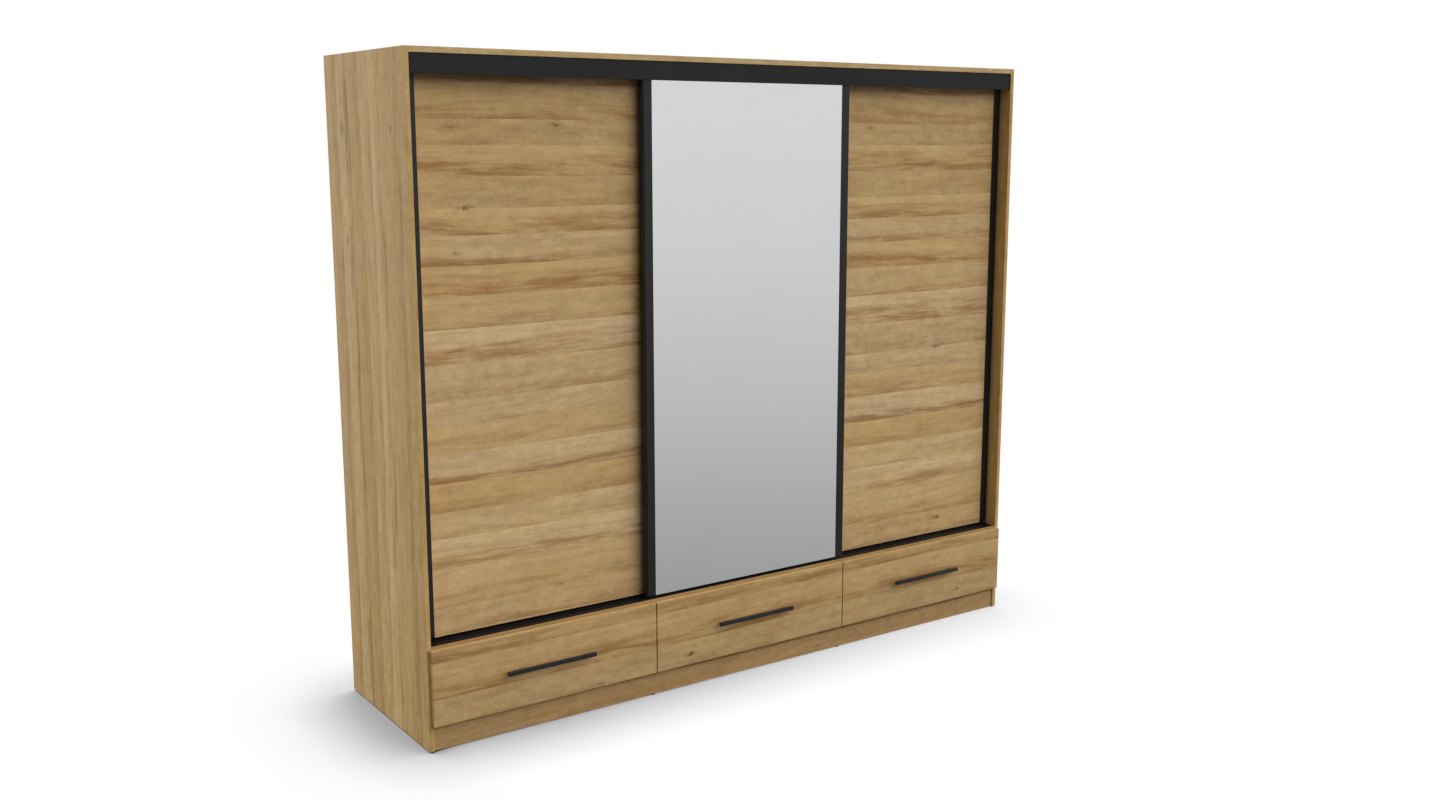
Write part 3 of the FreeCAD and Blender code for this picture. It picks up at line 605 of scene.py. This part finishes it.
# %% Draw a section wall by wall, then push it out
def first_wall(name, low, high):
    """A rectangle, flat along one axis, as the start of a section."""
    low, high = Vector(low), Vector(high)
    flat = min(range(3), key=lambda n: high[n] - low[n])
    turn = {0: (0, pi / 2, 0), 1: (pi / 2, 0, 0), 2: (0, 0, 0)}[flat]
    size = high - low
    scale = {0: (size.z, size.y, 1), 1: (size.x, size.z, 1), 2: (size.x, size.y, 1)}[flat]
    bpy.ops.object.select_all(action="DESELECT")
    bpy.ops.mesh.primitive_plane_add(size=1, location=(low + high) / 2, rotation=turn)
    piece = bpy.context.object
    piece.scale = scale
    piece.name = piece.data.name = name
    bpy.ops.object.transform_apply(location=True, rotation=True, scale=True)
    bpy.ops.object.mode_set(mode="EDIT")
    return piece


def push_out(piece, move):
    """Turn the finished flat section into a solid bar."""
    clean(piece)
    bpy.ops.mesh.select_mode(type="FACE")
    bpy.ops.mesh.select_all(action="SELECT")
    bpy.ops.mesh.extrude_region_move(TRANSFORM_OT_translate={"value": move})
    clean(piece)
    bpy.ops.object.mode_set(mode="OBJECT")
    return piece


def comb(name, node, stations, ribs, thick_mm, roof):
    """A track: a strip with walls that stand up from it, or hang from it when it is a roof."""
    low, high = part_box(node)
    way = -1 if roof else 1
    base = high.z if roof else low.z
    at = [low.y + s * MM for s in stations]
    skin = base + way * thick_mm * MM
    piece = first_wall(name, (low.x, at[0], min(base, skin)), (low.x, at[1], max(base, skin)))
    for a, b in zip(at[1:], at[2:]):
        pull(piece, (low.x, a, (base + skin) / 2), (0, b - a, 0))
    for number, tall_mm in ribs.items():
        y = (at[number] + at[number + 1]) / 2
        pull(piece, (low.x, y, skin), (0, 0, way * tall_mm * MM))
    return push_out(piece, (high.x - low.x, 0, 0))


track = comb("lower_track_rail", "bottom_track",
             [0, 1.6, 13, 15, 30, 32, 50.5, 52.5, 71, 73, 85.4, 87],
             {0: 2.4, 2: 1.2, 4: 4.25, 6: 1.2, 8: 4.25, 10: 2.4}, 1.6, roof=False)
hand_over(soften(track, 0.35), "carcass", black_track, "black_profile", "bottom_track")
track = comb("upper_track_rail", "top_track", [0, 1.6, 36.4, 38, 76.4, 78],
             {0: 38.4, 2: 38.4, 4: 38.4}, 2.6, roof=True)
hand_over(soften(track, 0.35), "carcass", black_track, "black_profile", "top_track")
board("fascia_cover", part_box("fascia"), "carcass", black_track, "black_profile", "fascia", edge=0.5)

# %% [markdown]
# ## Door profiles
# The upright is a hollow box with a lip that holds the panel and a step along its outer front
# corner. Starting at that step, fifteen pulls go round the section. The other upright is its mirror
# image, so it is a flipped copy with its normals turned out again.

# %% Door uprights
def door_upright(name, node):
    """The left upright of a door, at its place."""
    low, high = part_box(node)

    def at(x_mm, y_mm):
        return low + Vector((x_mm, y_mm, 0)) * MM

    piece = first_wall(name, at(4, 0), at(6, 2))
    for spot, move in (((6, 1), (18, 0)), ((24, 1), (2, 0)), ((26, 1), (9, 0)),
                       ((25, 2), (0, 16)), ((25, 18), (0, 2)), ((26, 19), (9, 0)),
                       ((25, 20), (0, 4)), ((25, 24), (0, 2)), ((24, 25), (-22, 0)),
                       ((2, 25), (-2, 0)), ((1, 24), (0, -18)), ((1, 6), (0, -2)),
                       ((2, 5), (2, 0)), ((4, 5), (2, 0)), ((5, 4), (0, -2))):
        pull(piece, at(*spot), Vector((*move, 0)) * MM)
    return soften(push_out(piece, (0, 0, high.z - low.z)), 0.45)


upright = door_upright("upright_pattern", "left_door_left_profile")
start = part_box("left_door_left_profile")[0]
for door in ("left_door", "mirror_door", "right_door"):
    low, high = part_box(f"{door}_left_profile")
    piece = copy_of(upright, f"{door}_left_upright", low - start)
    hand_over(piece, door, black_upright, "black_profile", f"{door}_left_profile")
    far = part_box(f"{door}_right_profile")[1].x
    piece = copy_of(piece, f"{door}_right_upright", flip_at=(low.x + far) / 2)
    hand_over(piece, door, black_upright, "black_profile", f"{door}_right_profile")
bpy.data.objects.remove(upright)

# %% [markdown]
# ## Door panels, mirror and backing
# Two doors hold a 16 mm oak board. The third holds a mirror glued on a white 12 mm board. The glass
# has ground edges, a narrow chamfer all round.

# %% Door fillings
board("left_door_board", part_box("left_door_panel"), "left_door", oak_doors, "oak_board", "left_door_panel")
board("right_door_board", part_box("right_door_panel"), "right_door", oak_doors, "oak_board",
      "right_door_panel")
board("mirror_board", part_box("mirror_door_backing"), "mirror_door", white_melamine, "drawer_board",
      "mirror_door_backing", edge=0.5)
board("mirror_pane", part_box("mirror_glass"), "mirror_door", silvered_glass, "mirror", "mirror_glass",
      edge=0.6)

# %% [markdown]
# ## Rollers
# A roller is a turned part, so its half section is spun round the axle. The section is drawn wall by
# wall like the aluminium ones: a hub, and a rim on each side of the groove that runs on the ridge.

# %% Rollers, spun once and copied
def spin_about(piece, centre, axis, steps):
    """Spin a flat half section into a closed ring."""
    clean(piece)
    bpy.ops.mesh.select_all(action="SELECT")
    bpy.ops.mesh.spin(steps=steps, angle=2 * pi, center=centre, axis=axis, use_auto_merge=True)
    clean(piece)
    bpy.ops.mesh.delete_loose()
    bpy.ops.object.mode_set(mode="OBJECT")
    return piece


BORE, GROOVE, RIM = 3.1 * MM, 12 * MM, 2 * MM          # two radii, and how far a rim stands above
HALF_GROOVE, HALF_ROLLER = 1.8 * MM, 4 * MM            # along the axle
low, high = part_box("left_door_roller_1")
hub = (low + high) / 2
face = hub.z + (BORE + GROOVE) / 2
roller = first_wall("roller_pattern", (hub.x, hub.y - HALF_ROLLER, hub.z + BORE),
                    (hub.x, hub.y - HALF_GROOVE, hub.z + GROOVE))
pull(roller, (hub.x, hub.y - HALF_GROOVE, face), (0, 2 * HALF_GROOVE, 0))
pull(roller, (hub.x, hub.y + HALF_GROOVE, face), (0, HALF_ROLLER - HALF_GROOVE, 0))
for side in (-1, 1):
    pull(roller, (hub.x, hub.y + side * (HALF_GROOVE + HALF_ROLLER) / 2, hub.z + GROOVE), (0, 0, RIM))
spin_about(roller, hub, (0, 1, 0), 48)
soften(roller, 0.3, angle=50)
for door in ("left_door", "mirror_door", "right_door"):
    for number in (1, 2):
        node = f"{door}_roller_{number}"
        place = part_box(node)[0] - low
        hand_over(copy_of(roller, f"{door}_wheel_{number}", place), node, nylon, "white_nylon", node)
bpy.data.objects.remove(roller)

# %% [markdown]
# ## Drawer fronts and handles
# Each drawer front is one board with the grain across. The handle is a 12 mm square bar that stands
# 13 mm off the front on two round feet, with rounded ends and all its edges broken.

# %% Drawer fronts and handles
BAR_MM, FOOT_INSET_MM, FOOT_RADIUS_MM, CORNER_MM = 12, 35, 3, 2.5


def bar_handle(name, node):
    """A square bar and two round feet behind it, joined into one piece."""
    low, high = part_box(node)
    rear, middle = low.y + BAR_MM * MM, (low.z + high.z) / 2
    bar = block(name, low, (high.x, rear, high.z))
    bpy.ops.object.mode_set(mode="EDIT")
    mark(bar, "EDGE", lambda edge: abs(edge.verts[0].co.z - edge.verts[1].co.z) > 0.005)
    bpy.ops.mesh.bevel(offset=CORNER_MM * MM, segments=5)
    bpy.ops.object.mode_set(mode="OBJECT")
    parts = [soften(bar, 0.6, 3)]
    sunk = rear - 1 * MM
    for x in (low.x + FOOT_INSET_MM * MM, high.x - FOOT_INSET_MM * MM):
        foot = rod(f"{name}_foot", (x, (sunk + high.y) / 2, middle), FOOT_RADIUS_MM * MM,
                   high.y - sunk, (pi / 2, 0, 0))
        parts.append(soften(foot, 0.3, angle=50))
    bpy.ops.object.select_all(action="DESELECT")
    for part in parts:
        part.select_set(True)
    bpy.context.view_layer.objects.active = bar
    bpy.ops.object.join()
    return bar


for bay in ("left", "middle", "right"):
    drawer = f"{bay}_drawer"
    board(f"{drawer}_face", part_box(f"{drawer}_front"), drawer, oak_drawers_painted_shade, "oak_board", f"{drawer}_front")
    hand_over(bar_handle(f"{drawer}_pull", f"{drawer}_handle"), drawer, powder_black, "black_handle",
              f"{drawer}_handle")

# %% [markdown]
# ## Drawer boxes and slides
# A real drawer box has two white melamine sides, grooved for the hardboard bottom, and a back between
# them. Open fault: these three boards share corner points, so `solids_of` reads them as one heap, and
# each drawer gets a single closed block instead of an open box. The branch that cuts the grooves is
# meant for the separate sides and isn't reached until that is mended. The slides are rolled steel
# channels: a web with two flanges, drawn like the aluminium sections and pushed out along Y.

# %% Drawer boxes
for bay in ("left", "middle", "right"):
    drawer = f"{bay}_drawer"
    sheet_low, sheet_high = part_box(f"{drawer}_bottom")
    boards = solids_of(f"{drawer}_box")
    centre = sum((box[0].x + box[1].x) / 2 for box in boards) / 3
    for number, (low, high) in enumerate(boards, start=1):
        piece = block(f"{drawer}_board_{number}", low, high)
        if high.x - low.x < 0.05:
            inward = 1 if low.x < centre else -1
            groove(piece, 2, sheet_low.z, sheet_high.z + SLACK, (inward, 0, 0), GROOVE_DEEP_MM,
                   (low.y + 1 * MM, high.y - 1 * MM))
        hand_over(soften(piece, 0.6), drawer, white_melamine, "drawer_board", f"{drawer}_box")
    board(f"{drawer}_sheet", (sheet_low, sheet_high), drawer, white_hardboard, "back_sheet",
          f"{drawer}_bottom", edge=0.2)

# %% Slide channels
def channel(name, low, high, opens):
    """A rolled channel along Y, its web on one side and its flanges pointing the way it opens."""
    wall = 1.2 * MM
    web = low.x if opens > 0 else high.x - wall
    piece = first_wall(name, (web, low.y, low.z), (web + wall, low.y, low.z + wall))
    pull(piece, (web + wall / 2, low.y, low.z + wall), (0, 0, high.z - low.z - 2 * wall))
    pull(piece, (web + wall / 2, low.y, high.z - wall), (0, 0, wall))
    for z in (low.z + wall / 2, high.z - wall / 2):
        side = web + wall if opens > 0 else web
        pull(piece, (side, low.y, z), (opens * (high.x - low.x - wall), 0, 0))
    return soften(push_out(piece, (0, high.y - low.y, 0)), 0.4)


for bay in ("left", "middle", "right"):
    drawer = f"{bay}_drawer"
    for node, body, flip in ((f"{drawer}_slide_middles", f"{drawer}_slide_carriages", 1),
                             (f"{drawer}_slide_inners", drawer, -1)):
        for number, (low, high) in enumerate(solids_of(node), start=1):
            opens = flip if number == 1 else -flip
            hand_over(channel(f"{node}_{number}", low, high, opens), body, zinc, "zinc_steel", node)
for number, (low, high) in enumerate(solids_of("slide_cabinet_members"), start=1):
    hand_over(channel(f"cabinet_slide_{number}", low, high, 1 if number % 2 else -1), "carcass", zinc,
              "zinc_steel", "slide_cabinet_members")

# %% [markdown]
# ## Hanging rails, glides and small fittings
# A hanging rail is a tube: a round bar whose ends are inset and bridged into a hollow. The glides
# are small moulded pads under the boards. Cams, pins, flanges, roller brackets and top guides keep
# their CAD shape and get the finish of their material.

# %% Rails and glides
for number, (low, high) in enumerate(solids_of("hanging_rails"), start=1):
    rail = rod(f"rail_tube_{number}", (low + high) / 2, (high.z - low.z) / 2, high.x - low.x,
               (0, pi / 2, 0), 64)
    bpy.ops.object.mode_set(mode="EDIT")
    mark(rail, "FACE", lambda face: abs(face.normal.x) > 0.9)
    bpy.ops.mesh.inset(thickness=1.5 * MM)
    bpy.ops.mesh.bridge_edge_loops()
    clean(rail)
    bpy.ops.object.mode_set(mode="OBJECT")
    bpy.ops.object.shade_smooth_by_angle(angle=radians(30))
    hand_over(rail, "carcass", chrome, "chrome_tube", "hanging_rails")

for number, (low, high) in enumerate(solids_of("floor_glides"), start=1):
    pad = rod(f"glide_pad_{number}", (low + high) / 2, (high.x - low.x) / 2, high.z - low.z)
    hand_over(soften(pad, 0.6, angle=50), "carcass", black_plastic, "black_plastic", "floor_glides")

# %% Finishes for the CAD nodes that stay
kept = {"cam_fittings": zinc, "shelf_pins": zinc, "rail_flanges": chrome}
for door in ("left_door", "mirror_door", "right_door"):
    kept[f"{door}_roller_brackets"] = zinc
    kept[f"{door}_top_guides"] = black_plastic
for name, finish in kept.items():
    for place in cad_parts[name].material_slots:
        place.material = finish
print("CAD nodes kept with a new finish:", len(kept))

# %% [markdown]
# ## Floor
# The floor is a pale sheet that shows nothing but the soft shadow at the foot. Ambient occlusion
# measures how much of the sky is hidden from a spot. One reading looks straight up: it is the
# contact shadow, and it weakens towards the right. The other leans towards the front right and counts
# only beyond the left end, where the cabinet keeps the light from a broader strip of floor.

# %% Pale floor
bpy.ops.object.select_all(action="DESELECT")
bpy.ops.mesh.primitive_plane_add(size=400)
floor = bpy.context.object
floor.name = floor.data.name = "studio_floor"
floor.visible_glossy = floor.visible_diffuse = False
pale, tree, shader = finish_called("pale_studio_floor", 0.9)
across = put(tree, "ShaderNodeSeparateXYZ", links={0: put(tree, "ShaderNodeTexCoord").outputs["Object"]})
open_sky = put(tree, "ShaderNodeAmbientOcclusion", {"samples": 16, "Distance": 0.31}).outputs["AO"]
contact = put(tree, MATH, {"operation": "SUBTRACT", 0: 1.0}, {1: open_sky})
weaker_right = put(tree, RANGE, {"From Min": -0.80, "From Max": 0.90, "To Min": 0.92, "To Max": 0.42},
                   {"Value": across})
contact = put(tree, MATH, {"operation": "MULTIPLY"}, {0: contact, 1: weaker_right})
open_side = put(tree, "ShaderNodeAmbientOcclusion", {"samples": 16, "Distance": 0.50,
                                                     "Normal": (0.62, -0.62, 0.48)}).outputs["AO"]
beside = put(tree, MATH, {"operation": "SUBTRACT", 0: 1.0}, {1: open_side})
left_end = put(tree, RANGE, {"interpolation_type": "SMOOTHSTEP", "From Min": -1.10, "From Max": -1.35,
                             "To Min": 0.0, "To Max": 0.50}, {"Value": across})
shadow = put(tree, MATH, {"operation": "MULTIPLY_ADD"}, {0: beside, 1: left_end, 2: contact})
tone = put(tree, MATH, {"operation": "SUBTRACT", 0: 1.0}, {1: shadow})
glow = put(tree, "ShaderNodeEmission", links={"Color": tone})
tree.links.new(glow.outputs[0], tree.nodes["Material Output"].inputs["Surface"])
floor.data.materials.append(pale)
print("floor sheet in m:", [round(d) for d in floor.dimensions])

# %% [markdown]
# ## Studio light
# The light is a dome drawn in the world: dark below, grey at eye level and bright overhead, which is
# also what the mirror shows. A strong key light is high at the front right and a weak fill at the
# left back, and the dome is dimmed at the left front, so that the front and the side get their own
# tones. Reflections see neither the key nor the dimming, so the mirror stays an even grey, and the
# camera sees plain white behind the object.

# %% Dome
DOME = ((0.20, 0.03), (0.30, 0.14), (0.34, 0.35), (0.3665, 0.42), (0.408, 0.55), (0.46, 0.67),
        (0.5065, 0.73), (0.60, 0.72), (0.70, 0.78), (0.80, 0.80), (0.90, 0.60))
world = bpy.data.worlds.new("studio_dome")
scene.world = world
world.use_nodes = True
tree = world.node_tree
tree.nodes.clear()
way = put(tree, "ShaderNodeTexCoord").outputs["Generated"]
height = put(tree, "ShaderNodeSeparateXYZ", links={0: way}).outputs["Z"]
level = put(tree, RANGE, {"From Min": -1, "From Max": 1}, {"Value": height})
dome = put(tree, "ShaderNodeValToRGB", links={0: level})
ramp = dome.color_ramp
ramp.elements[0].position, ramp.elements[0].color = 0.0, (0.0, 0.0, 0.0, 1)
ramp.elements[1].position, ramp.elements[1].color = 1.0, (0.5, 0.5, 0.5, 1)
for place, grey in DOME:
    ramp.elements.new(place).color = (grey, grey, grey, 1)
print("steps of grey from below to overhead:", len(ramp.elements))

# %% Key light, fill light and dimmed side
KEY_GAIN, FILL_GAIN, DIMMED_TO = 2.85, 0.66, 0.25
flat = put(tree, VECTOR, {"operation": "MULTIPLY", 1: (1, 1, 0)}, {0: way})
flat = put(tree, VECTOR, {"operation": "NORMALIZE"}, {0: flat})
sides = {}
for side, toward, low, high in (("left front", (-0.64, -0.77, 0), 1.0, DIMMED_TO),
                                ("right front", (0.71, -0.71, 0), 0.0, 1.0),
                                ("left back", (-0.85, 0.53, 0), 0.0, FILL_GAIN)):
    facing = put(tree, VECTOR, {"operation": "DOT_PRODUCT", 1: toward}, {0: flat}).outputs["Value"]
    sides[side] = put(tree, RANGE, {"interpolation_type": "SMOOTHSTEP", "From Min": 0.30,
                                    "From Max": 0.95, "To Min": low, "To Max": high},
                      {"Value": facing})
raised = put(tree, RANGE, {"interpolation_type": "SMOOTHSTEP", "From Min": 0.12, "From Max": 0.45},
             {"Value": height})
key = put(tree, MATH, {"operation": "MULTIPLY"}, {0: sides["right front"], 1: raised})
strength = put(tree, MATH, {"operation": "MULTIPLY_ADD", 1: KEY_GAIN}, {0: key, 2: sides["left front"]})
path = put(tree, "ShaderNodeLightPath").outputs
strength = put(tree, MIX, {"data_type": "FLOAT", 3: 1.0}, {0: path["Is Glossy Ray"], 2: strength})
strength = put(tree, MATH, {"operation": "ADD"}, {0: strength, 1: sides["left back"]})
light = put(tree, "ShaderNodeBackground", links={"Color": dome, "Strength": strength})
white = put(tree, "ShaderNodeBackground", {"Color": (1, 1, 1, 1), "Strength": 1.0})
both = put(tree, "ShaderNodeMixShader", links={0: path["Is Camera Ray"], 1: light, 2: white})
put(tree, "ShaderNodeOutputWorld", links={"Surface": both})
print("key", KEY_GAIN, "fill", FILL_GAIN, "left front dimmed to", DIMMED_TO)
